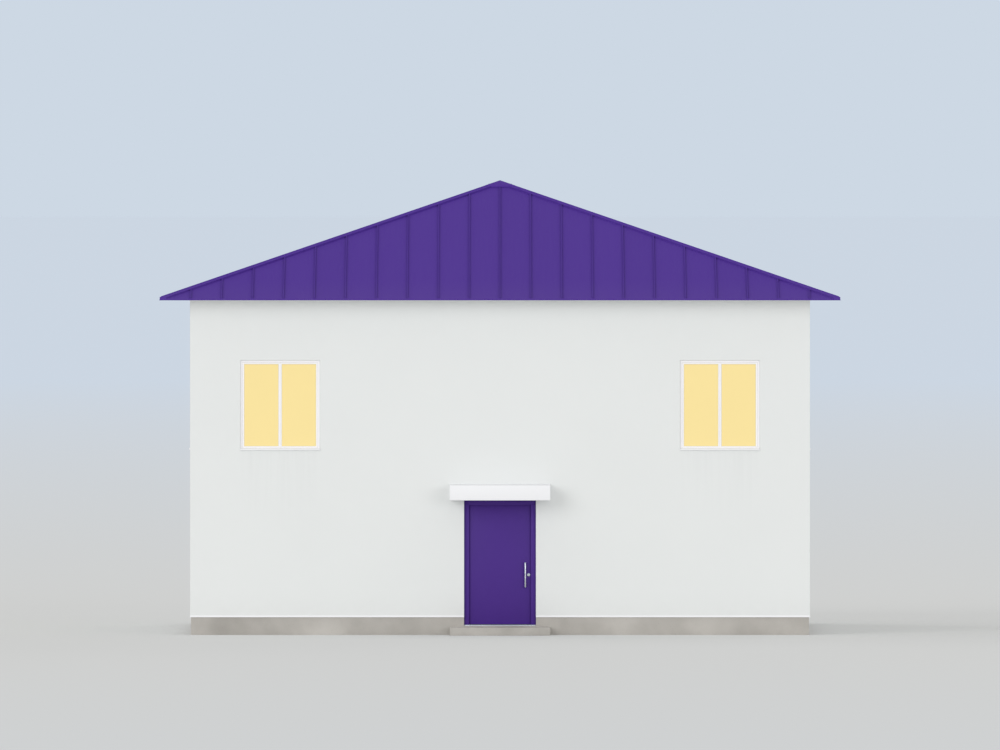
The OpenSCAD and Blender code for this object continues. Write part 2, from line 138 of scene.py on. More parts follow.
# Every side is worked out as the front, which faces -Y, and turned about Z into its place.
sides = []
for name, cosine, sine in [("front", 1, 0), ("right", 0, 1), ("back", -1, 0), ("left", 0, -1)]:
    wall, half, eave, eaveHalf = (wallY, wallX, eaveY, eaveX) if cosine else (wallX, wallY, eaveX, eaveY)
    turn = np.array([[cosine, -sine, 0], [sine, cosine, 0], [0, 0, 1]], float)
    sides.append({"name": name, "wall": wall, "half": half, "eave": eave, "eaveHalf": eaveHalf, "turn": turn})


# Corner boxes of the separate solids of a node. Corners at one place count as one, and the lowest number
# among joined corners spreads along the edges until each solid has a single number.
def solidsOf(node):
    mesh = nodes[node].data
    points = np.empty(len(mesh.vertices) * 3)
    mesh.vertices.foreach_get("co", points)
    edges = np.empty(len(mesh.edges) * 2, int)
    mesh.edges.foreach_get("vertices", edges)
    places, place = np.unique(points.reshape(-1, 3).round(5), axis=0, return_inverse=True)
    ends = place.reshape(-1)[edges].reshape(-1, 2)
    number = np.arange(len(places))
    while True:
        spread = number.copy()
        np.minimum.at(spread, ends, number[ends].min(axis=1, keepdims=True))
        if (spread == number).all():
            break
        number = spread
    return [np.array([places[number == k].min(axis=0), places[number == k].max(axis=0)])
            for k in np.unique(number)]


# The same boxes side by side, from left to right on each, turned as if their side were the front. The name of
# the node may hold {} for the name of the side.
def solidsRound(node):
    found = []
    for side in sides:
        boxes = [np.sort(box @ side["turn"], axis=0) for box in solidsOf(node.format(side["name"]))]
        boxes = [box for box in boxes if box[:, 1].mean() < wallDepth - side["wall"]]
        found += [(side, box) for box in sorted(boxes, key=lambda box: box[0, 0])]
    return found


# Shapes. A shape holds points and groups of faces, with one group for each number of corners.
class Shape:
    def __init__(self, points, faces):
        self.points = np.asarray(points, float).reshape(-1, 3)
        self.faces = faces

    def __add__(self, other):
        moved = [group + len(self.points) for group in other.faces]
        return Shape(np.vstack([self.points, other.points]), self.faces + moved)

    # Copies at several places: each point times the copy's three axes, plus the copy's origin
    def at(self, origins, axes=np.eye(3)):
        origins = np.asarray(origins, float).reshape(-1, 3)
        axes = np.broadcast_to(axes, (len(origins), 3, 3))
        points = origins[:, None] + np.einsum("kij,pj->kpi", axes, self.points)
        first = np.arange(len(origins))[:, None, None] * len(self.points)
        return Shape(points, [(first + group).reshape(-1, group.shape[1]) for group in self.faces])

    # From the front, where it was made, to its own side
    def turnedTo(self, side):
        return self.at([0, 0, 0], side["turn"])


def joined(shapes):
    return sum(shapes, Shape([], []))


# Points from their coordinates, each a number or an array
def spots(x, y, z):
    return np.stack(np.broadcast_arrays(x, y, z), axis=-1)


# Rings of points joined by four-cornered faces. The last ring meets the first, or the named ends get a face.
def tube(rings, closed=False, ends=(0, -1)):
    number = np.arange(rings.shape[0] * rings.shape[1]).reshape(rings.shape[:2])
    ahead = np.roll(number, -1, axis=0)
    faces = np.stack([number, np.roll(number, -1, axis=1), np.roll(ahead, -1, axis=1), ahead], axis=-1)
    if closed:
        return Shape(rings, [faces.reshape(-1, 4)])
    return Shape(rings, [faces[:-1].reshape(-1, 4), number[list(ends)]])


# A closed profile carried along straight runs. Its first number goes sideways, to the right of travel, and
# its second along the upright. At a bend the sideways vector is the sum of both runs' sideways vectors over
# one plus their dot product, which makes a mitre.
def carried(profile, path, upright, closed=False):
    profile, path, upright = (np.asarray(given, float) for given in (profile, path, upright))
    ahead = np.roll(path, -1, axis=0) - path
    ahead /= np.linalg.norm(ahead, axis=1, keepdims=True)
    sideways = np.cross(ahead, upright)
    before = np.roll(sideways, 1, axis=0)
    if not closed:
        sideways[-1] = sideways[-2]
        before[0] = sideways[0]
    mitre = (before + sideways) / (1 + (before * sideways).sum(axis=1, keepdims=True))
    return tube(path[:, None] + profile[:, :1] * mitre[:, None] + profile[:, 1:] * upright, closed)


def roundAngles(steps):
    return np.arange(steps) * 2 * math.pi / steps


# A profile of radius and height turned about Z: each point goes round a circle of its own radius
def turned(profile, steps):
    radius, height = np.asarray(profile, float).T[:, :, None]
    angle = roundAngles(steps)
    return tube(spots(radius * np.cos(angle), radius * np.sin(angle), height), ends=())


# Part of a circle, from one angle to another in degrees
def arc(radius, start, end, steps, middle=(0, 0)):
    angle = np.radians(np.linspace(start, end, steps))
    return np.stack([middle[0] + radius * np.cos(angle), middle[1] + radius * np.sin(angle)], axis=-1)


def circle(radius, steps, middle=(0, 0)):
    return arc(radius, 0, 360, steps + 1, middle)[:-1]


# Fills a corner with part of a circle about it
def quarterRound(radius, start, end, steps):
    return np.vstack([[(0, 0)], arc(radius, start, end, steps)])


# Fills a corner with a hollow bead of sealant
def hollowBead(size):
    return np.array([(0, 0), (-1, 0), (-0.42, 0.24), (-0.24, 0.42), (0, 1)]) * size


# Rectangle in plan, anticlockwise from above, so that a profile's first number points outwards
def planRectangle(halfX, halfY, z):
    return np.array([[-halfX, -halfY, z], [halfX, -halfY, z], [halfX, halfY, z], [-halfX, halfY, z]])


# Upright rectangle that faces -Y, anticlockwise as seen from there
def frontRectangle(x0, x1, z0, z1, y):
    return np.array([[x0, y, z0], [x1, y, z0], [x1, y, z1], [x0, y, z1]])


# Up one side of an opening, along its head and down the other side
def roundOpening(x0, x1, z0, z1, y):
    return np.array([[x0, y, z0], [x0, y, z1], [x1, y, z1], [x1, y, z0]])


outOfFront = np.array([0, -1, 0])
intoFront = np.array([0, 1, 0])
skyward = np.array([0, 0, 1])

# Axes that stand a shape, drawn along Z, on a face that looks to -Y, +Y, +X or -X
onFront = np.array([[1, 0, 0], [0, 0, -1], [0, 1, 0]])
onInside = np.array([[-1, 0, 0], [0, 0, 1], [0, 1, 0]])
onRight = np.array([[0, 0, 1], [1, 0, 0], [0, 1, 0]])
onLeft = np.array([[0, 0, -1], [-1, 0, 0], [0, 1, 0]])

corners = np.array([[1, 1], [-1, 1], [-1, -1], [1, -1]])


# An outline repeated upwards, each time with a scale and a height of its own
def stacked(outline, scales, heights):
    flat = outline * np.reshape(scales, (len(heights), 1, -1))
    return tube(spots(flat[..., 0], flat[..., 1], np.reshape(heights, (-1, 1))))


# Plate that lies on z = 0 about the middle. Its outline has quarter circles at the corners, and the rings
# round its upper edge draw in by one minus the cosine and rise by the sine of the edge's angle. A plate in a
# dictionary is these measures in order: width, height, thickness, radius of the corners and of the edge.
def roundedPlate(width, height, thick, corner, edge, steps=4):
    middles = corners * [width / 2 - corner, height / 2 - corner]
    outline = [arc(corner, 90 * k, 90 * k + 90, steps + 1, middles[k]) for k in range(4)]
    bend = np.radians(np.linspace(0, 90, steps))
    inset = np.r_[0, edge * (1 - np.cos(bend))]
    scales = 1 - inset[:, None] * 2 / np.array([width, height])
    return stacked(np.vstack(outline), scales, np.r_[0, thick - edge + edge * np.sin(bend)])


# Materials. A wire is a shader value: arithmetic on it adds the Math node that does it.
def maths(operation, swapped=False):
    def apply(self, other=0.0):
        first, second = (other, self) if swapped else (self, other)
        return self.graph.add("ShaderNodeMath", {"operation": operation}, {0: first, 1: second})
    return apply


class Wire:
    def __init__(self, graph, socket):
        self.graph = graph
        self.socket = socket

    __add__ = __radd__ = maths("ADD")
    __mul__ = __rmul__ = maths("MULTIPLY")
    __sub__ = maths("SUBTRACT")
    __rsub__ = maths("SUBTRACT", swapped=True)
    __truediv__ = maths("DIVIDE")
    __rtruediv__ = maths("DIVIDE", swapped=True)
    __gt__ = maths("GREATER_THAN")
    __lt__ = maths("LESS_THAN")
    __abs__ = maths("ABSOLUTE")
    __floor__ = maths("FLOOR")
    least = maths("MINIMUM")
    most = maths("MAXIMUM")

    # Held between 0 and 1
    def held(self):
        return self.graph.add("ShaderNodeClamp", {}, {"Value": self})

    # From 0 at a start up to 1, with a gain
    def ramp(self, start, gain):
        return ((self - start) * gain).held()


class Graph:
    def __init__(self, tree):
        self.tree = tree
        tree.nodes.clear()

    # Any node: its settings are set first, then each socket gets a value or a link
    def add(self, kind, settings, sockets, output=0):
        node = self.tree.nodes.new(kind)
        for name, value in settings.items():
            setattr(node, name, value)
        for key, value in sockets.items():
            self.put(node.inputs[key], value)
        return Wire(self, node.outputs[output])

    def put(self, socket, value):
        if isinstance(value, Wire):
            self.tree.links.new(value.socket, socket)
        else:
            socket.default_value = value


finishes = {}


# One material: a Principled shader and its look, the dictionary of what a user may change. In a look, tones
# are shares of the colour, a roughness is one value or its least and its most, a noise is its waves per metre
# and its octaves of detail, and a depth is in metres.
class Finish(Graph):
    def __init__(self, name, look):
        self.name = name
        self.look = look
        finishes[name] = self
        self.material = bpy.data.materials.new(name)
        self.material.use_nodes = True
        super().__init__(self.material.node_tree)
        self.shader = self.tree.nodes.new("ShaderNodeBsdfPrincipled")
        output = self.tree.nodes.new("ShaderNodeOutputMaterial")
        self.tree.links.new(self.shader.outputs[0], output.inputs["Surface"])
        self.feed("Specular IOR Level", look["gloss"])
        self.place = self.add("ShaderNodeTexCoord", {}, {}, "Object")

    def feed(self, socket, value):
        self.put(self.shader.inputs[socket], value)

    # The colour, the relief from a height in metres, and the roughness, which a share takes from its least
    # to its most
    def covered(self, colour, height, share=None):
        rough = self.look["roughness"]
        if share:
            rough = rough[0] + share * (rough[1] - rough[0])
        self.feed("Base Color", colour)
        self.feed("Roughness", rough)
        bump = self.add("ShaderNodeBump", {}, {"Strength": 1.0, "Distance": 1.0, "Height": height})
        self.feed("Normal", bump)
        return self

    def axes(self):
        return [self.add("ShaderNodeSeparateXYZ", {}, {0: self.place}, k) for k in range(3)]

    def spot(self, x, y, z):
        return self.add("ShaderNodeCombineXYZ", {}, {0: x, 1: y, 2: z})

    # Smooth noise about 0.5
    def noise(self, scale, detail, place=None):
        sockets = {"Vector": place or self.place, "Scale": scale, "Detail": detail}
        return self.add("ShaderNodeTexNoise", {}, sockets)

    # Noise in upright marks, some times as long as they are wide
    def marks(self, scale, detail, long):
        scales = (scale, scale, scale / long)
        place = self.add("ShaderNodeVectorMath", {"operation": "MULTIPLY"}, {0: self.place, 1: scales})
        return self.noise(1, detail, place)

    # From one colour to another as the share goes from 0 to 1
    def blend(self, share, first, second):
        return self.add("ShaderNodeMix", {"data_type": "RGBA"}, {0: share, 6: first, 7: second}, 2)

    # The same from the darkest to the lightest tone of the look's colour
    def toned(self, share, tones=None):
        dark, light = tones or self.look["tones"]
        return self.blend(share, shade(self.look["colour"], dark), shade(self.look["colour"], light))


# Linear colour of an sRGB one that is written from 0 to 255
def paint(red, green, blue):
    share = np.array([red, green, blue]) / 255
    linear = np.where(share <= 0.04045, share / 12.92, ((share + 0.055) / 1.055) ** 2.4)
    return (*linear.tolist(), 1.0)


def shade(colour, share):
    return (*[min(part * share, 1.0) for part in colour[:3]], 1.0)


# A mesh that is open to work on, in which corners that nearly meet have become one
def opened(mesh, joinUnder=0.00001):
    work = bmesh.new()
    work.from_mesh(mesh)
    bmesh.ops.remove_doubles(work, verts=work.verts, dist=joinUnder)
    return work


# Makes a piece of shapes. Its faces turn outwards, and only sharp edges stay sharp. It rides on a body, and
# takes the finish that it is given.
def makePiece(name, finish, *shapes, body="house", smoothUnder=35):
    mesh = bpy.data.meshes.new(name)
    whole = joined(shapes)
    mesh.from_pydata(whole.points, [], [face for group in whole.faces for face in group.tolist()])
    return finishPiece(name, finish, mesh, opened(mesh), body, smoothUnder)


def finishPiece(name, finish, mesh, work, body, smoothUnder):
    bmesh.ops.recalc_face_normals(work, faces=work.faces)
    work.to_mesh(mesh)
    work.free()
    mesh.materials.clear()
    mesh.materials.append(finish.material)
    mesh.shade_smooth()
    mesh.set_sharp_from_angle(angle=math.radians(smoothUnder))
    piece = placed(name, mesh)
    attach(piece, body)
    return piece


# Stands in for a CAD node with the same solids, their sharp edges rounded to a radius. Corners nearer to each
# other than joinUnder become one, because a very short edge would hold back the rounding everywhere.
def softened(name, node, radius, steps=2, sharpOver=20, joinUnder=0.00001):
    mesh = nodes[node].data.copy()
    work = opened(mesh, joinUnder)
    bmesh.ops.dissolve_limit(work, angle_limit=math.radians(1), verts=work.verts, edges=work.edges)
    sharp = [edge for edge in work.edges
             if edge.is_manifold and edge.calc_face_angle(0) > math.radians(sharpOver)]
    bmesh.ops.bevel(work, geom=sharp, offset=radius, offset_type="OFFSET", segments=steps, profile=0.5,
                    affect="EDGES", clamp_overlap=True)
    piece = finishPiece(name, finishes[slotOf[node]], mesh, work, bodyOf[node], 35)
    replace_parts(piece, node)


def dress(node, finish):
    for slot in nodes[node].material_slots:
        slot.material = finish.material


# Stage and light. The sky is white for the light and pale for what is seen directly or in a reflection.
stage = {
    "reach": 6000,            # metres that the floor goes each way
    "colour": paint(221, 222, 221),
    "gloss": 0.0,
    "roughness": 1.0,
    "farColour": paint(217, 228, 241),    # looks like the sky once it is lit
    "fadeFrom": 25,           # metres from the house at which the floor begins to fade
    "fadeTo": 500,
    "skyColour": paint(205, 216, 228),
    "skyLight": 0.74,
}
# Each lamp's direction from the house in degrees from the front, where more is further to the right, then
# its height in degrees over the floor
lamps = [
    {"name": "key", "around": -32, "height": 14, "strength": 0.235 * math.pi, "width": 30},
    {"name": "fill", "around": 28, "height": 2, "strength": 0.21 * math.pi, "width": 30},
    {"name": "back_left", "around": -125, "height": 10, "strength": 0.18 * math.pi, "width": 35},
    {"name": "back_right", "around": 158, "height": 10, "strength": 0.12 * math.pi, "width": 35},
]


# The floor's colour changes with the distance from the house, so no line parts it from the sky.
def makeStage(look):
    ground = Finish("floor", look)
    away = ground.add("ShaderNodeVectorMath", {"operation": "LENGTH"}, {0: ground.place}, "Value")
    fade = ((away - look["fadeFrom"]) / (look["fadeTo"] - look["fadeFrom"])).held()
    ground.feed("Base Color", ground.blend(fade, look["colour"], look["farColour"]))
    ground.feed("Roughness", look["roughness"])
    mesh = bpy.data.meshes.new("floor")
    mesh.from_pydata(planRectangle(look["reach"], look["reach"], 0), [], [(0, 1, 2, 3)])
    mesh.materials.append(ground.material)
    placed("floor", mesh)


def makeSky(look):
    world = bpy.data.worlds.new("sky")
    world.use_nodes = True
    sky = Graph(world.node_tree)
    seen, glossy, through = [sky.add("ShaderNodeLightPath", {}, {}, "Is " + ray + " Ray")
                             for ray in ("Camera", "Glossy", "Transmission")]
    light = sky.add("ShaderNodeBackground", {}, {"Color": (1, 1, 1, 1), "Strength": look["skyLight"]})
    backdrop = sky.add("ShaderNodeBackground", {}, {"Color": look["skyColour"], "Strength": 1.0})
    share = seen.most(glossy).most(through)
    mixed = sky.add("ShaderNodeMixShader", {}, {0: share, 1: light, 2: backdrop})
    output = sky.tree.nodes.new("ShaderNodeOutputWorld")
    sky.put(output.inputs["Surface"], mixed)
    bpy.context.scene.world = world


def makeLamps():
    for lamp in lamps:
        data = bpy.data.lights.new(lamp["name"], "SUN")
        data.energy = lamp["strength"]
        data.angle = math.radians(lamp["width"])
        sun = placed(lamp["name"], data)
        sun.rotation_euler = (math.radians(90 - lamp["height"]), 0, math.radians(lamp["around"]))


makeCamera(photo, -wallY, cadBounds[1].z)
makeStage(stage)
makeSky(stage)
makeLamps()
bpy.context.scene.view_settings.view_transform = "Standard"
print("camera, floor and light ready")


# Walls: thin render with a fine floated grain, rain marks under the sills and splashes at the foot
renderLook = {
    "colour": paint(232, 234, 233),
    "tones": (0.988, 1.012),
    "gloss": 0.25,
    "roughness": 0.9,
    "patches": (0.9, 3),
    "grain": (420, 2),
    "grainDepth": 0.0009,
    "grainIndoors": 0.3,      # share of that depth on the inner faces
    "floatWaves": (2.6, 3),
    "floatDepth": 0.003,
    "rainColour": paint(96, 100, 98),
    "rainShare": 0.035,       # share of that colour in a rain mark
    "rainLength": 1.2,
    "rainMarks": (14, 0.6, 3),    # the first two are waves per metre across and down
    "rainRamp": (0.4, 3),     # noise at which a mark starts, and its gain
    "rainEnds": 8,            # gain from the sill's ends inwards
    "splashColour": paint(120, 112, 100),
    "splashShare": 0.05,
    "splashHeight": 0.45,
    "splashes": (7, 4),
}


def makeRenderFinish(look):
    coat = Finish("wall_render", look)
    x, y, z = coat.axes()
    outside = abs(x).most(abs(y)) > wallX - wallDepth / 2
    sill = solidsRound("window_sills")[0][1]
    sillMiddle = abs(sill[:, 0].mean())
    under = (sill[1, 0] - sill[0, 0]) / 2 - abs(abs(x).least(abs(y)) - sillMiddle)
    fade = (z - (sill[0, 2] - look["rainLength"])) / look["rainLength"]
    across, down, detail = look["rainMarks"]
    marks = coat.noise(1, detail, coat.spot((x + y) * across, 0, z * down)).ramp(*look["rainRamp"])
    rain = (under * look["rainEnds"]).held() * fade.held() * (z < sill[0, 2]) * marks * outside
    splash = (1 - (z - wallFoot) / look["splashHeight"]).held() * coat.noise(*look["splashes"]) * outside
    base = coat.toned(coat.noise(*look["patches"]))
    washed = coat.blend(rain * look["rainShare"], base, look["rainColour"])
    splashed = coat.blend(splash * look["splashShare"], washed, look["splashColour"])
    indoors = look["grainIndoors"]
    grain = coat.noise(*look["grain"]) * look["grainDepth"] * (indoors + outside * (1 - indoors))
    return coat.covered(splashed, grain + coat.noise(*look["floatWaves"]) * look["floatDepth"])


# Roof sheet: coated steel, where each panel between two seams has its own faint tone and waves
roofLook = {
    "colour": paint(83, 53, 149),
    "tones": (0.975, 1.025),
    "gloss": 0.08,
    "roughness": (0.7, 0.82),
    "panels": 22,             # across each eave
    "panelSeed": 100,         # another whole number gives the panels other tones
    "clouds": (0.7, 3),
    "runs": (22, 0.8, 3),     # the first two are waves per metre along the eave and out from the middle
    "waves": (1.4, 1),        # out from the middle, and twice as many along the eave
    "waveDepth": 0.0016,
    "grain": (900, 1),
    "grainDepth": 0.00008,
    "dustColour": paint(170, 160, 170),
    "dustShare": 0.05,        # near the eaves
    "dustReach": 0.35,
}


# The place along the eave and the distance out from the middle, for the roof side that a point lies on, and
# whether that side is the front or the back
def roofPlaces(x, y):
    onFrontOrBack = abs(x) * eaveY < abs(y) * eaveX
    along = x * onFrontOrBack + y * (1 - onFrontOrBack)
    out = y * onFrontOrBack + x * (1 - onFrontOrBack)
    return along, out, onFrontOrBack


def makeRoofFinish(look):
    sheet = Finish("roof_sheet", look)
    x, y, z = sheet.axes()
    along, out, side = roofPlaces(x, y)
    panel = math.floor(along / (2 * eaveX / look["panels"]) + look["panelSeed"])
    tone = sheet.add("ShaderNodeTexWhiteNoise", {}, {"Vector": sheet.spot(panel, out > 0, side)})
    base = sheet.toned(tone * 0.5 + sheet.noise(*look["clouds"]) * 0.5)
    across, down, detail = look["runs"]
    runs = sheet.noise(1, detail, sheet.spot(along * across, out * down, 0))
    lowDown = (1 - (z - eavesZ) / look["dustReach"]).held()
    dusty = sheet.blend(lowDown * runs * look["dustShare"], base, look["dustColour"])
    scale, detail = look["waves"]
    waves = sheet.noise(1, detail, sheet.spot(along * scale * 2, out * scale, 0))
    relief = waves * look["waveDepth"] + sheet.noise(*look["grain"]) * look["grainDepth"]
    return sheet.covered(dusty, relief, runs)


# White trim: a satin coat with a faint rolled texture and a tone that drifts a little in clouds
trimLook = {
    "colour": paint(244, 244, 246),
    "tones": (0.98, 1.01),
    "gloss": 0.35,
    "roughness": (0.42, 0.54),
    "clouds": (2.3, 4),
    "roller": (260, 2),
    "rollerDepth": 0.00015,
}


def makeTrimFinish(look):
    coat = Finish("white_trim", look)
    cloud = coat.noise(*look["clouds"])
    return coat.covered(coat.toned(cloud), coat.noise(*look["roller"]) * look["rollerDepth"], cloud)


# Soffit boards: the same coat on boards two rafters long, with a fine joint at each end of a board and along
# the mitres at the corners of the house
soffitLook = {
    **trimLook,
    "roughness": 0.5,
    "jointColour": paint(110, 110, 112),
    "jointShare": 0.5,        # share of that colour in a joint
    "jointWidth": 0.003,
    "jointDepth": 0.0015,
}


def makeSoffitFinish(look):
    board = Finish("soffit_board", look)
    x, y, _ = board.axes()
    along, _, side = roofPlaces(x, y)
    length = 4 * eaveX / roofLook["panels"]
    ends = along / length - 0.25    # the first is under the rafter half a panel from the middle
    away = abs(ends - math.floor(ends + 0.5)) * length
    overWall = abs(along) < side * wallX + (1 - side) * wallY
    fromMitre = abs(abs(x) * eaveY - abs(y) * eaveX) / hipLength
    half = look["jointWidth"] / 2
    gap = ((away < half) * overWall).most(fromMitre < half)
    base = board.toned(board.noise(*look["clouds"]))
    relief = board.noise(*look["roller"]) * look["rollerDepth"] - gap * look["jointDepth"]
    return board.covered(board.blend(gap * look["jointShare"], base, look["jointColour"]), relief)


# Window plastic: extruded, so its gloss varies a little in long stretches
plasticLook = {
    "colour": paint(252, 250, 252),
    "tones": (0.985, 1.005),
    "gloss": 0.45,
    "roughness": (0.28, 0.4),
    "clouds": (1.7, 3),
    "draw": (60, 2),
    "drawDepth": 0.00004,
}


def makePlasticFinish(look):
    plastic = Finish("window_frame", look)
    draw = plastic.noise(*look["draw"])
    return plastic.covered(plastic.toned(plastic.noise(*look["clouds"])), draw * look["drawDepth"], draw)


# Panes: part of the colour is painted light, a warm glow that the panes give off themselves as if a room
# behind them were lit. The face waves as float glass does.
paneLook = {
    "colour": paint(252, 229, 159),
    "tones": (0.98, 1.02),
    "bodyTones": (0.99, 1.01),
    "ownLight": 0.4,          # share of the colour that the pane gives off
    "gloss": 0.35,
    "roughness": 0.12,
    "drift": (1.3, 1),
    "waves": (2.2, 1),
    "waveDepth": 0.0002,
}


def makePaneFinish(look):
    glass = Finish("window_glass", look)
    drift = glass.noise(*look["drift"])
    # Painted glow: the pane gives off this share of its colour as light of its own
    glass.feed("Emission Strength", look["ownLight"])
    glass.feed("Emission Color", glass.toned(drift))
    body = glass.toned(drift, [tone * (1 - look["ownLight"]) for tone in look["bodyTones"]])
    return glass.covered(body, glass.noise(*look["waves"]) * look["waveDepth"])


# Door paint: satin over close-grained boards, with upright brush marks
doorLook = {
    "colour": paint(74, 42, 134),
    "tones": (0.97, 1.03),
    "gloss": 0.2,
    "roughness": (0.42, 0.58),
    "clouds": (1.6, 3),
    "grain": (46, 3, 18),     # the third is how many times as long as wide the marks are
    "grainDepth": 0.0007,
    "brush": (520, 2, 90),
    "brushDepth": 0.00012,
}


def makeDoorFinish(look):
    coat = Finish("door_paint", look)
    brush = coat.marks(*look["brush"])
    relief = coat.marks(*look["grain"]) * look["grainDepth"] + brush * look["brushDepth"]
    return coat.covered(coat.toned(coat.noise(*look["clouds"])), relief, brush)


# Metals: brushed along Z, with a drawn line in the sheen
metalLook = {"tones": (0.92, 1.03), "gloss": 0.5, "brushDepth": 0.00002}
steelLook = {"colour": paint(200, 202, 206), "roughness": (0.26, 0.38), "brush": (1400, 2, 60)}
aluminiumLook = {"colour": paint(206, 208, 212), "roughness": (0.36, 0.48), "brush": (900, 2, 60)}


def makeMetalFinish(name, look):
    metal = Finish(name, {**metalLook, **look})
    metal.feed("Metallic", 1.0)
    lines = metal.marks(*look["brush"])
    return metal.covered(metal.toned(lines), lines * metalLook["brushDepth"], lines)


# Concrete: cement skin with pores, stains and a grey drift
concreteLook = {
    "pale": paint(196, 192, 186),
    "dark": paint(166, 162, 156),
    "gloss": 0.25,
    "roughness": 0.92,
    "drift": (1.1, 5),
    "driftRamp": (0.3, 2.5),
    "poreColour": paint(110, 106, 100),
    "poreShare": 0.35,        # share of that colour in a pore
    "pores": (60, 2),
    "poreRamp": (0.36, 8),    # noise under which a pore starts, and its gain
    "poreDepth": 0.0012,
    "sand": (700, 2),
    "sandDepth": 0.0003,
}


def makeConcreteFinish(look):
    skin = Finish("concrete", look)
    start, gain = look["poreRamp"]
    hollow = ((start - skin.noise(*look["pores"])) * gain).held()
    cement = skin.blend(skin.noise(*look["drift"]).ramp(*look["driftRamp"]), look["dark"], look["pale"])
    relief = skin.noise(*look["sand"]) * look["sandDepth"] - hollow * look["poreDepth"]
    return skin.covered(skin.blend(hollow * look["poreShare"], cement, look["poreColour"]), relief)


# Roof timbers: sawn softwood, with grain that runs down each slope
timberLook = {
    "pale": paint(214, 176, 128),
    "dark": paint(168, 122, 78),
    "gloss": 0.3,
    "roughness": 0.75,
    "grain": (90, 2.5, 3),    # the first two are waves per metre across the grain and along it
    "grainRamp": (0.25, 2),
    "grainDepth": 0.0005,
    "saw": (6, 320, 1),
    "sawDepth": 0.0003,
}


def makeTimberFinish(look):
    wood = Finish("timber", look)
    x, y, z = wood.axes()
    along, out, _ = roofPlaces(x, y)
    grain, saw = [wood.noise(1, detail, wood.spot(along * across, out * down, z * across))
                  for across, down, detail in (look["grain"], look["saw"])]
    return wood.covered(wood.blend(grain.ramp(*look["grainRamp"]), look["dark"], look["pale"]),
                        grain * look["grainDepth"] + saw * look["sawDepth"])


# Ceiling board: matt white, with a fine rolled texture
ceilingLook = {
    "colour": paint(242, 242, 240),
    "tones": (0.98, 1.01),
    "gloss": 0.2,
    "roughness": 0.9,
    "clouds": (1.2, 3),
    "roller": (300, 2),
    "rollerDepth": 0.0002,
}


def makeCeilingFinish(look):
    board = Finish("ceiling_board", look)
    relief = board.noise(*look["roller"]) * look["rollerDepth"]
    return board.covered(board.toned(board.noise(*look["clouds"])), relief)


# Rubber and sealant: soft, with a dull skin
rubberLook = {"tones": (0.94, 1.04), "gloss": 0.3, "skin": (150, 3), "skinDepth": 0.0002}
gasketLook = {"colour": paint(214, 215, 217), "roughness": (0.55, 0.65)}
sealantLook = {"colour": paint(236, 238, 238), "roughness": (0.5, 0.6)}
sealLook = {"colour": paint(46, 44, 52), "roughness": (0.6, 0.7)}


def makeRubberFinish(name, look):
    rubber = Finish(name, {**rubberLook, **look})
    skin = rubber.noise(*rubberLook["skin"])
    return rubber.covered(rubber.toned(skin), skin * rubberLook["skinDepth"], skin)


render = makeRenderFinish(renderLook)
roofSheet = makeRoofFinish(roofLook)
trim = makeTrimFinish(trimLook)
soffitBoard = makeSoffitFinish(soffitLook)
plastic = makePlasticFinish(plasticLook)
makePaneFinish(paneLook)
makeDoorFinish(doorLook)
steel = makeMetalFinish("door_metal", steelLook)
aluminium = makeMetalFinish("threshold_metal", aluminiumLook)
makeConcreteFinish(concreteLook)
makeTimberFinish(timberLook)
makeCeilingFinish(ceilingLook)
gasket = makeRubberFinish("glazing_rubber", gasketLook)
sealant = makeRubberFinish("joint_sealant", sealantLook)
seal = makeRubberFinish("door_seal", sealLook)

for node, slot in slotOf.items():
    dress(node, finishes[slot])
for side in sides:
    dress(side["name"] + "_soffit", soffitBoard)
print("materials ready:", len(bpy.data.materials))


# Roof trim: a roll along each hip, rings of one radius on the straight line from eave to peak cap. At the
# eave their radius shrinks as the sine and their place moves as the cosine of a quarter circle.
hipRoll = {
    "radius": 0.014,        # metres
    "sunk": 0.006,          # depth of the roll's middle below the crest of the hip caps
    "setBack": 0.03,        # from the corner of the eaves, in plan
    "around": 14,           # corners of a ring
    "tipRings": 5,
}
hipAlong = np.array([eaveX, eaveY]) / hipLength
hipAside = np.array([-eaveY, eaveX]) / hipLength
peakEnd = hipLength * peakReach / eaveX


# A shape at the hip at the back right, on all four hips
def atHips(shape):
    return shape.at(np.zeros((4, 3)), [np.diag([x, y, 1]) for x, y in corners])


# Places in plan near the hip at the back right: a distance from the middle along it, and one aside of it
def hipPlaces(along, aside):
    along, aside = np.broadcast_arrays(along, aside)
    places = along[..., None] * hipAlong + aside[..., None] * hipAside
    return places[..., 0], places[..., 1]


# Distance along the hip at which a line beside it meets the eave
def hipEnd(aside):
    return hipLength - (aside * eaveX / eaveY if aside > 0 else -aside * eaveY / eaveX)


def makeHipRolls(size):
    bend = np.linspace(0, math.pi / 2, size["tipRings"])
    tip = hipLength - size["setBack"] - size["radius"] * (1 - np.cos(bend))
    along = np.r_[tip, peakEnd - size["radius"]][:, None]
    radius = size["radius"] * np.r_[np.sin(bend), 1][:, None]
    angle = roundAngles(size["around"])
    x, y = hipPlaces(along, radius * np.cos(angle))
    crest = roofHeight(*hipPlaces(along, 0)) + capTop - size["sunk"]
    roll = tube(spots(x, y, crest + radius * np.sin(angle)), ends=(-1,))
    makePiece("hip_rolls", roofSheet, atHips(roll))


# Hems: the folded edges down both sides of each hip cap, and the drip fold along the eaves
hems = {
    "hipRadius": 0.005,
    "hipHalf": 0.075,       # half width of a hip cap
    "eaveRadius": 0.006,
    "around": 10,
}


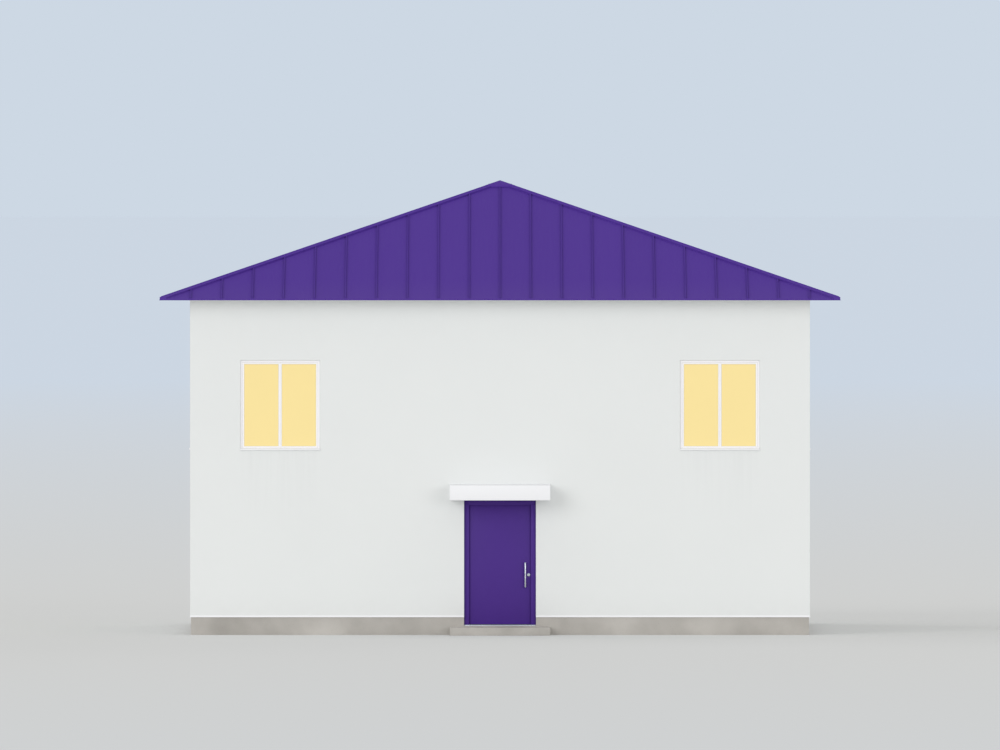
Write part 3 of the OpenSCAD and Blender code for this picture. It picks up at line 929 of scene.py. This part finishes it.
def makeHipHems(size):
    radius = size["hipRadius"]
    hem = []
    for aside in (size["hipHalf"] - radius / 2, radius / 2 - size["hipHalf"]):
        x, y = hipPlaces(np.array([hipEnd(aside) - radius, peakEnd]), aside)
        path = spots(x, y, roofHeight(x, y) + capTop - radius / 2)
        hem.append(carried(circle(radius, size["around"]), path, skyward))
    makePiece("hip_cap_hems", roofSheet, atHips(joined(hem)))


def makeEaveHem(size):
    radius = size["eaveRadius"]
    path = planRectangle(eaveX + radius / 3, eaveY + radius / 3, eavesZ + radius)
    makePiece("eave_drip_hem", roofSheet, carried(circle(radius, size["around"]), path, skyward, closed=True))


# Screws: a washer and a six-sided head turned about Z, and then stood square to the sheet under them
screws = {
    "pitch": 0.3,
    "fromPeak": 0.12,       # first screw of a hip from the peak cap
    "fromEave": 0.08,       # least distance of the last
    "aside": 0.048,         # from the hip's crest
    "onPeak": 0.72,         # share of the peak cap's reach
    "washer": 0.009,
    "washerThick": 0.0016,
    "head": 0.0055,
    "headHigh": 0.005,
    "headBevel": 0.0008,
    "sunk": 0.002,
}


def screwShape(size):
    w, t, h = size["washer"], size["washerThick"], size["head"]
    top, bevel, foot = t + size["headHigh"], size["headBevel"], -size["sunk"]
    washer = turned([(0, foot), (w, foot), (w, t * 0.6), (w * 0.9, t), (0, t)], 14)
    return washer + turned([(0, 0), (h, 0), (h, top - bevel), (h * 0.85, top), (0, top)], 6)


# Axes whose third column is each normal
def axesOn(normals):
    normals = np.asarray(normals, float)
    normals /= np.linalg.norm(normals, axis=1, keepdims=True)
    first = np.cross([0.0, 1.0, 0.0], normals)
    first /= np.linalg.norm(first, axis=1, keepdims=True)
    return np.stack([first, np.cross(normals, first), normals], axis=-1)


def makeHipScrews(size):
    count = int((hipLength - peakEnd - size["fromPeak"] - size["fromEave"]) / size["pitch"])
    along = peakEnd + size["fromPeak"] + np.arange(count) * size["pitch"]
    slopeX, slopeY = (peakZ - eavesZ) / eaveX, (peakZ - eavesZ) / eaveY
    shapes = []
    for aside, normal in ((size["aside"], (0, slopeY, 1)), (-size["aside"], (slopeX, 0, 1))):
        x, y = hipPlaces(along, aside)
        shapes.append(screwShape(size).at(spots(x, y, roofHeight(x, y) + capTop), axesOn([normal] * count)))
    makePiece("hip_cap_screws", roofSheet, atHips(joined(shapes)))


def makePeakScrews(size):
    rise = highest("peak_cap")[2] - peakZ
    outward = np.array([[0, -1], [1, 0], [0, 1], [-1, 0]])
    x, y = outward.T * peakReach * size["onPeak"]
    normals = np.column_stack([outward * (peakZ - eavesZ) / eaveY, np.ones(4)])
    shape = screwShape(size).at(spots(x, y, roofHeight(x, y) + rise), axesOn(normals))
    makePiece("peak_cap_screws", roofSheet, shape)


def panelWidth(side):
    return 2 * side["eaveHalf"] / roofLook["panels"]


# A shape at the middle of a side, a panel's width apart up to a last number each way, on that side
def alongEave(shape, side, last):
    return shape.at(spots(np.arange(-last, last + 1) * panelWidth(side), 0, 0)).turnedTo(side)


# Seam ends: each standing seam is folded down to the eave. An arch of four corners shrinks in width and
# falls as one minus the square of the way along it.
seamEnd = {
    "width": 0.014,
    "narrower": 0.35,       # share of the width that is lost on the way
    "high": 0.024,
    "endHigh": 0.0015,
    "sunk": 0.002,
    "reach": 0.018,         # from the seam's end towards the eave
    "setBack": 0.02,        # from the eave to the seam's end
    "stations": 6,
}


def makeSeamEnds(size):
    way = np.linspace(0, 1, size["stations"])[:, None]
    x = size["width"] / 2 * (1 - size["narrower"] * way) * [-1, -0.9, 0.9, 1]
    high = size["high"] * (1 - way ** 2) + size["endHigh"]
    level = sheetTop + np.where([True, False, False, True], -size["sunk"], high)
    shapes = []
    for side in sides:
        out = side["eave"] - size["setBack"] + size["reach"] * way
        boards = eavesZ + (peakZ - eavesZ) * (1 - out / side["eave"])
        shapes.append(alongEave(tube(spots(x, -out, boards + level)), side, roofLook["panels"] // 2 - 1))
    makePiece("seam_ends", roofSheet, *shapes, smoothUnder=50)


# Soffit vents: a flange round each slot and slanted blades across it
vents = {
    "fromWall": 0.15,       # middle of the slots
    "slotWidth": 0.012,
    "slotEnd": 0.06,        # from a rafter's side
    "rafter": 0.05,
    "flange": 0.007,
    "thick": 0.0016,
    "deep": 0.006,          # of the blades and of the collar inside the slot
    "collar": 0.0008,
    "blades": 15,
    "bladeHalf": 0.0006,
    "bladeTilt": 0.004,
}


def makeVents(size):
    f, t, collar, deep = size["flange"], size["thick"], size["collar"], size["deep"]
    half, tilt = size["bladeHalf"], size["bladeTilt"]
    edge = [(-collar, deep), (-collar, -t), (f * 0.9, -t), (f, -t * 0.3), (f, 0), (0, 0), (0, deep)]
    outline = [(-half, 0), (half, 0), (half + tilt, deep), (tilt - half, deep)]
    shapes = []
    for side in sides:
        reach = (panelWidth(side) - size["rafter"]) / 2 - size["slotEnd"]
        middle = np.array([0, -side["wall"] - size["fromWall"], eavesZ])
        across = np.array([0, size["slotWidth"] / 2, 0])
        flange = carried(edge, planRectangle(reach, across[1], 0) + middle, skyward, closed=True)
        blade = carried(outline, [middle + across, middle - across], skyward)
        blades = blade.at(spots(np.linspace(-reach, reach, size["blades"] + 2)[1:-1], 0, 0))
        shapes.append(alongEave(flange + blades, side, int((side["half"] - reach) / panelWidth(side))))
    makePiece("soffit_vents", trim, *shapes)


# Quarter-round bead in the corner between soffit and wall
eaveBead = {"radius": 0.014, "steps": 6}


def makeEaveBead(size):
    profile = quarterRound(size["radius"], 0, -90, size["steps"])
    bead = carried(profile, planRectangle(wallX, wallY, eavesZ), skyward, closed=True)
    makePiece("eave_bead", trim, bead)


# Render beads: round nosings of plastic on the corners of the walls and of the openings, and a flared
# drip bead where the render stops above the plinth
renderBeads = {
    "cornerRadius": 0.005,
    "openingRadius": 0.004,
    "sunk": 0.6,            # share of the radius by which a nosing's middle lies behind both faces
    "around": 12,
    "flare": 0.007,
    "flareHigh": 0.026,
    "flareEnd": 0.002,      # height at which the drip begins
    "dripLip": 0.005,
    "thick": 0.0012,
    "tongue": 0.014,        # reach of the drip bead under the render
}


def makeCornerBeads(size):
    radius = size["cornerRadius"]
    inward = radius * size["sunk"]
    top = eavesZ - wallFoot
    nosing = turned([(0, 0), (radius, 0), (radius, top), (0, top)], size["around"])
    x, y = (corners * [wallX - inward, wallY - inward]).T
    makePiece("corner_beads", render, nosing.at(spots(x, y, wallFoot)))


def makeOpeningBeads(size):
    radius = size["openingRadius"]
    inward = -radius * size["sunk"]
    profile = circle(radius, size["around"], (inward, inward))
    doorway = highest("door_head")
    openings = [(sides[0], (-doorway[0], doorway[0], wallFoot, doorway[2]))]
    for side, (low, high) in solidsRound("{}_window_frames"):
        openings.append((side, (low[0], high[0], sillTop, high[2])))
    makePiece("opening_beads", render, *[
        carried(profile, roundOpening(*edges, -side["wall"]), outOfFront).turnedTo(side)
        for side, edges in openings])


def makeStopBead(size):
    flare, high, lip = size["flare"], size["flareHigh"], size["dripLip"]
    thick, tongue, end = size["thick"], size["tongue"], size["flareEnd"]
    profile = [(0, high), (flare * 0.3, high * 0.5), (flare, end), (flare, -lip), (flare * 0.6, -lip),
               (flare * 0.6, -thick), (-tongue, -thick), (-tongue, 0), (0, 0)]
    doorway = highest("door_head")[0]
    ring = planRectangle(wallX, wallY, wallFoot)
    path = np.vstack([[doorway, -wallY, wallFoot], ring[1:], ring[:1], [-doorway, -wallY, wallFoot]])
    makePiece("render_stop_bead", trim, carried(profile, path, skyward))


# Windows: rubber round both faces of every pane and between casement and frame, a sealant bead round every
# frame, drain caps on the lower members, capped sill ends and a handle inside
windowTrim = {
    "rubber": 0.004,
    "grip": 0.01,           # how far a pane reaches into its groove
    "joint": 0.003,         # between casement and frame, and between the casements
    "jointSunk": 0.003,     # from the casement's face to the rubber in its joint
    "jointDeep": 0.006,
    "bead": 0.006,
    "drainAt": 0.22,        # share of the window's width from each end
    "drainAbove": 0.006,    # from the sill to the middle of a drain cap
    "drainCap": (0.032, 0.008, 0.004, 0.0036, 0.0015),
    "sillCap": (0.0035, 0.004, 0.0012),    # thickness, radius of the corners and of the edge
    "sillCapOver": 0.002,   # reach of a sill cap round the sill's outline
}
windowHandle = {
    "plate": (0.028, 0.068, 0.01, 0.008, 0.003),
    "neckRadius": 0.008,
    "neckLong": 0.03,
    "lever": (0.019, 0.115, 0.011, 0.008, 0.004),
    "stile": 0.014,         # from the edge of the casement to the middle of the handle
}


def makeGlazingRubbers(size):
    grip = size["grip"]
    profile = quarterRound(size["rubber"], 90, 180, 4)
    shapes = []
    for side, (low, high) in solidsRound("window_panes"):
        shown = (low[0] + grip, high[0] - grip, low[2] + grip, high[2] - grip)
        outer = carried(profile, frontRectangle(*shown, low[1]), outOfFront, closed=True)
        inner = carried(profile, frontRectangle(*shown, high[1])[::-1], intoFront, closed=True)
        shapes.append((outer + inner).turnedTo(side))
    makePiece("glazing_rubbers", gasket, *shapes)


# The two casements of every window, the left one first, with their side
def casementPairs():
    found = solidsRound("casements")
    return [(*left, right[1]) for left, right in zip(found[::2], found[1::2])]


# A strip with a half-round face fills each joint, round both casements of a window and up between them.
def makeJointRubbers(size):
    half, deep = size["joint"] / 2, size["jointDeep"]
    profile = np.vstack([[(-half, -deep), (half, -deep)], arc(half, 0, 180, 6)])
    shapes = []
    for side, left, right in casementPairs():
        middle = (left[1, 0] + right[0, 0]) / 2
        face = left[0, 1] + size["jointSunk"]
        foot, top = left[0, 2], right[1, 2]
        ring = frontRectangle(left[0, 0] - half, right[1, 0] + half, foot - half, top + half, face)
        around = carried(profile, ring, outOfFront, closed=True)
        between = carried(profile, [[middle, face, foot], [middle, face, top]], outOfFront)
        shapes.append((around + between).turnedTo(side))
    makePiece("joint_rubbers", gasket, *shapes)


def makeFrameSealant(size):
    makePiece("frame_sealant", sealant, *[
        carried(hollowBead(size["bead"]), frontRectangle(low[0], high[0], sillTop, high[2], low[1]),
                outOfFront, closed=True).turnedTo(side)
        for side, (low, high) in solidsRound("{}_window_frames")])


def makeDrainCaps(size):
    cap = roundedPlate(*size["drainCap"])
    shares = np.array([size["drainAt"], 1 - size["drainAt"]])
    shapes = []
    for side, (low, high) in solidsRound("{}_window_frames"):
        places = spots(low[0] + (high[0] - low[0]) * shares, low[1], sillTop + size["drainAbove"])
        shapes.append(cap.at(places, onFront).turnedTo(side))
    makePiece("drain_caps", plastic, *shapes)


def makeSillCaps(size):
    over = size["sillCapOver"]
    shapes = []
    for side, (low, high) in solidsRound("window_sills"):
        deep = -side["wall"] - low[1] + over
        cap = roundedPlate(deep, high[2] - low[2] + over, *size["sillCap"])
        middle = [-side["wall"] - deep / 2, (low[2] + high[2]) / 2]
        ends = cap.at([high[0], *middle], onRight) + cap.at([low[0], *middle], onLeft)
        shapes.append(ends.turnedTo(side))
    makePiece("sill_caps", trim, *shapes)


def makeWindowHandles(size):
    neck, long, plate, lever = size["neckRadius"], size["neckLong"], size["plate"], size["lever"]
    post = turned([(0, 0), (neck, 0), (neck, long), (0, long)], 16)
    rise = plate[1] / 4
    drop = [0, rise - lever[1] / 2, long - lever[2] / 2]
    handle = roundedPlate(*plate) + post.at([0, rise, 0]) + roundedPlate(*lever).at(drop)
    makePiece("window_handles", plastic, *[
        handle.at([left[1, 0] - size["stile"], left[1, 1], left[:, 2].mean()], onInside).turnedTo(side)
        for side, left, _ in casementPairs()])


# Door seal: a bulb on the door stop, up one side, along the head and down the other
doorSeal = {
    "width": 0.009,
    "bulb": 0.0052,
    "stop": 0.025,          # reach of the door stop
    "clear": 0.006,         # from the stop to the closed door
    "steps": 8,
}


def makeDoorSeal(size):
    jambs = solidsOf("door_jambs")
    inner = min(abs(box[:, 0]).min() for box in jambs) + size["stop"] / 2
    top = lowest("door_head")[2] + size["stop"] / 2
    bulb = arc(1, 180, 0, size["steps"]) * [size["width"] / 2, size["bulb"]]
    path = roundOpening(inner, -inner, jambs[0][0, 2], top, lowest("door_leaf")[1] - size["clear"])
    makePiece("door_seal", seal, carried(bulb, path, intoFront))


# Hinge screws: countersunk heads with a driver socket, turned as a shallow dished disc
hingeScrews = {
    "radius": 0.0042,
    "proud": 0.0006,
    "socket": 0.0018,
    "depth": 0.0012,
    "sunk": 0.001,
    "rows": np.array([0.16, 0.5, 0.84]),    # shares of the hinge's height
    "across": np.array([0.3, 0.72]),        # shares of the plate's width, from its free edge
    "plate": 0.035,
    "plateThick": 0.003,
}


# The leaves on the frame have their free edge at the low end of X, and those on the door at the high end.
def makeHingeScrews(size, name, node, edge):
    r, s, foot = size["radius"], size["socket"], -size["sunk"]
    up, down = size["proud"], size["proud"] - size["depth"]
    head = turned([(0, foot), (r, foot), (r, up * 0.4), (r * 0.85, up), (s, up), (s * 0.8, down), (0, down)],
                  18)
    places = []
    for box in solidsOf(node):
        x = box[edge, 0] + size["plate"] * (1 - 2 * edge) * size["across"]
        z = box[0, 2] + size["rows"][:, None] * (box[1, 2] - box[0, 2])
        places.append(spots(x, box[0, 1] + size["plateThick"], z))
    makePiece(name, steel, head.at(places, onInside), body=bodyOf[node])


# Whether a solid stands outside the door, the face of the door that carries it, and the axes on that face
def onDoor(box):
    outer, inner = boxOf("door_leaf")[:, 1]
    outside = box[:, 1].mean() < (outer + inner) / 2
    return outside, outer if outside else inner, onFront if outside else onInside


# Pull handles: a bar with domed ends, turned from a quarter circle at each end, on two collared posts
pull = {
    "dome": 0.006,
    "domeSteps": 7,
    "postShare": 0.7,       # a post's radius over the bar's
    "postAt": 1 / 6,        # share of the bar's length from each end
    "collar": 0.017,
    "collarThick": 0.004,
    "around": 40,
}


def makePulls(size):
    dome, collar, thick = size["dome"], size["collar"], size["collarThick"]
    shapes = []
    for box in solidsOf("door_pulls"):
        outside, face, axes = onDoor(box)
        radius = (box[1, 0] - box[0, 0]) / 2
        x, long = box[:, 0].mean(), box[1, 2] - box[0, 2]
        reach = abs(box[:, 1] - face).max() - radius
        tip = arc(1, -90, 0, size["domeSteps"]) * [radius, dome] + [0, dome]
        bar = turned(np.vstack([tip, [0, long] + tip[::-1] * [1, -1]]), size["around"])
        shapes.append(bar.at([x, face - reach if outside else face + reach, box[0, 2]]))
        thin = radius * size["postShare"]
        post = turned([(0, 0), (collar, 0), (collar, thick * 0.7), (collar * 0.92, thick), (thin, thick),
                       (thin, reach), (0, reach)], size["around"])
        at = box[0, 2] + long * np.array([size["postAt"], 1 - size["postAt"]])
        shapes.append(post.at(spots(x, face, at), axes))
    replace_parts(makePiece("pull_handles", steel, *shapes, body="door"), "door_pulls")


# Lock roses: turned discs with a rounded rim, each with the end of a key cylinder. The keyway is painted
# shade: a thin dark plate on the cylinder's end where the slot would be. The cylinder's radius in a direction
# is the larger of a circle's and of a round-ended bar's that hangs below it.
rose = {
    "rim": 0.003,
    "circle": 0.0085,
    "bar": 0.005,
    "barLong": 0.019,
    "proud": 0.003,
    "sunk": 0.001,
    "bevel": 0.0006,
    "bevelShare": 0.93,     # size of the cylinder's end over its outline
    # the keyway's dark plate, which is painted shade where the slot would be
    "slot": (0.0022, 0.009, 0.0004, 0.001, 0.0002),
    "around": 64,
}


def cylinderOutline(size):
    angle = roundAngles(size["around"])
    across, down = np.cos(angle), -np.sin(angle)
    beside = size["bar"] / np.maximum(abs(across), 0.001)
    drop = size["barLong"] - size["bar"]
    inside = np.maximum(size["bar"] ** 2 - (drop * across) ** 2, 0)
    around = drop * down + np.sqrt(inside)
    bar = np.where(down > 0, np.minimum(beside, np.where(inside > 0, around, beside)), 0)
    radius = np.maximum(size["circle"], np.minimum(bar, size["barLong"]))
    return np.column_stack([radius * across, -radius * down])


def makeRoses(size):
    slot = roundedPlate(*size["slot"])
    shapes = []
    for box in solidsOf("lock_roses"):
        outside, face, axes = onDoor(box)
        radius, thick = (box[1, 0] - box[0, 0]) / 2, box[1, 1] - box[0, 1]
        end = thick + size["proud"]
        rim = arc(size["rim"], 0, 90, 5, (radius - size["rim"], thick - size["rim"]))
        disc = turned(np.vstack([[(0, 0), (radius, 0)], rim, [(0, thick)]]), size["around"])
        barrel = stacked(cylinderOutline(size), [1, 1, size["bevelShare"]],
                         [thick - size["sunk"], end - size["bevel"], end])
        place = [box[:, 0].mean(), face, box[:, 2].mean()]
        shapes.append((disc + barrel).at(place, axes))
        # A dark plate on the cylinder's end stands for the keyway: painted shade, not a slot
        makePiece("keyway_shade_outside" if outside else "keyway_shade_inside", seal,
                  slot.at([0, 0, end]).at(place, axes), body="door")
    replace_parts(makePiece("lock_faces", steel, *shapes, body="door"), "lock_roses")


# Lock plates: the lock's plate on the edge of the door with its latch, and the strike plate on the frame
lockPlates = {
    "plate": (0.022, 0.235, 0.0012, 0.01056, 0.0004),
    "latch": (0.012, 0.03, 0.0012, 0.002, 0.0005),
    "latchUp": 0.012,       # from the middle of the plate
    "screwRadius": 0.0038,
    "screwThick": 0.0005,
    "screwAt": 0.43,        # share of the plate's height each way
}


def makeLockPlates(size):
    high, thick = size["plate"][1:3]
    r, t = size["screwRadius"], size["screwThick"]
    screw = turned([(0, 0), (r, 0), (r * 0.9, t), (0, t)], 14)
    heads = screw.at(spots(0, high * size["screwAt"] * np.array([-1, 1]), thick))
    strike = roundedPlate(*size["plate"]) + heads
    face = strike + roundedPlate(*size["latch"]).at([0, size["latchUp"], thick])
    leaf = boxOf("door_leaf")
    place = [leaf[:, 1].mean(), boxOf("lock_roses")[:, 2].mean()]
    rebate = max(box[0, 0] for box in solidsOf("door_jambs")) + doorSeal["stop"]
    makePiece("lock_edge_plate", steel, face.at([leaf[1, 0], *place], onRight), body="door")
    makePiece("strike_plate", steel, strike.at([rebate, *place], onLeft))


# Threshold ribs: half-round ridges along the sloping front of the threshold
ribs = {
    "radius": 0.0016,
    "number": 3,
    "margin": 0.7,          # pitches of the ribs below the first and above the last
    "slopeShare": 0.8,      # share of the slope that they and their margins cover
    "riseShare": 1 / 3,     # share of the threshold's height that the slope rises
    "inset": 0.004,         # from the ends of the threshold
    "steps": 6,
}


def makeThresholdRibs(size):
    low, high = boxOf("door_threshold")
    deep = solidsOf("door_jambs")[0][0, 1] - low[1]
    rise = (high[2] - low[2]) * size["riseShare"]
    pitches = size["number"] - 1 + 2 * size["margin"]
    share = (np.arange(size["number"]) + size["margin"]) / pitches * size["slopeShare"]
    path = [[low[0] + size["inset"], 0, 0], [high[0] - size["inset"], 0, 0]]
    ridge = carried(arc(size["radius"], 0, 180, size["steps"]), path, skyward)
    places = spots(0, low[1] + deep * share, high[2] - rise * (1 - share))
    makePiece("threshold_ribs", aluminium, ridge.at(places))


# Canopy trim: sealant where the canopy meets the wall and a quarter-round bead round its soffit board
canopyTrim = {"bead": 0.012, "quarter": 0.011, "steps": 6}


def makeCanopySealant(size):
    low, high = boxOf("canopy_shell")
    path = roundOpening(low[0], high[0], low[2], high[2], -wallY)
    makePiece("canopy_sealant", sealant, carried(hollowBead(size["bead"]), path, outOfFront))


def makeCanopyBead(size):
    low, high = boxOf("canopy_soffit")
    path = planRectangle(*(high - low)[:2] / 2, low[2]) + [*(low + high)[:2] / 2, 0]
    profile = quarterRound(size["quarter"], 90, 180, size["steps"])
    makePiece("canopy_bead", trim, carried(profile, path[::-1], -skyward, closed=True))


makeHipRolls(hipRoll)
makeHipHems(hems)
makeEaveHem(hems)
makeHipScrews(screws)
makePeakScrews(screws)
makeSeamEnds(seamEnd)
makeVents(vents)
makeEaveBead(eaveBead)
softened("peak_cover", "peak_cap", radius=0.004)
print("roof and eaves trimmed")

makeCornerBeads(renderBeads)
makeOpeningBeads(renderBeads)
makeStopBead(renderBeads)
softened("canopy_moulding", "canopy_shell", radius=0.008, steps=3)
makeCanopySealant(canopyTrim)
makeCanopyBead(canopyTrim)
softened("entrance_step", "doorstep", radius=0.003)
print("walls and canopy trimmed")

for side in sides:
    softened(side["name"] + "_frame_profiles", side["name"] + "_window_frames", radius=0.0012)
softened("casement_profiles", "casements", radius=0.0012)
softened("sill_profiles", "window_sills", radius=0.0015)
makeGlazingRubbers(windowTrim)
makeJointRubbers(windowTrim)
makeFrameSealant(windowTrim)
makeDrainCaps(windowTrim)
makeSillCaps(windowTrim)
makeWindowHandles(windowHandle)
print("windows trimmed")

softened("door_panel", "door_leaf", radius=0.003)
softened("jamb_profiles", "door_jambs", radius=0.002)
softened("head_profile", "door_head", radius=0.002)
softened("threshold_profile", "door_threshold", radius=0.0012)
softened("frame_hinges", "hinge_frame_leaves", radius=0.0004, sharpOver=40, joinUnder=0.0004)
softened("door_hinges", "hinge_door_leaves", radius=0.0004, sharpOver=40)
makeDoorSeal(doorSeal)
makeHingeScrews(hingeScrews, "frame_hinge_screws", "hinge_frame_leaves", 0)
makeHingeScrews(hingeScrews, "door_hinge_screws", "hinge_door_leaves", 1)
makePulls(pull)
makeRoses(rose)
makeLockPlates(lockPlates)
makeThresholdRibs(ribs)
print("door trimmed")
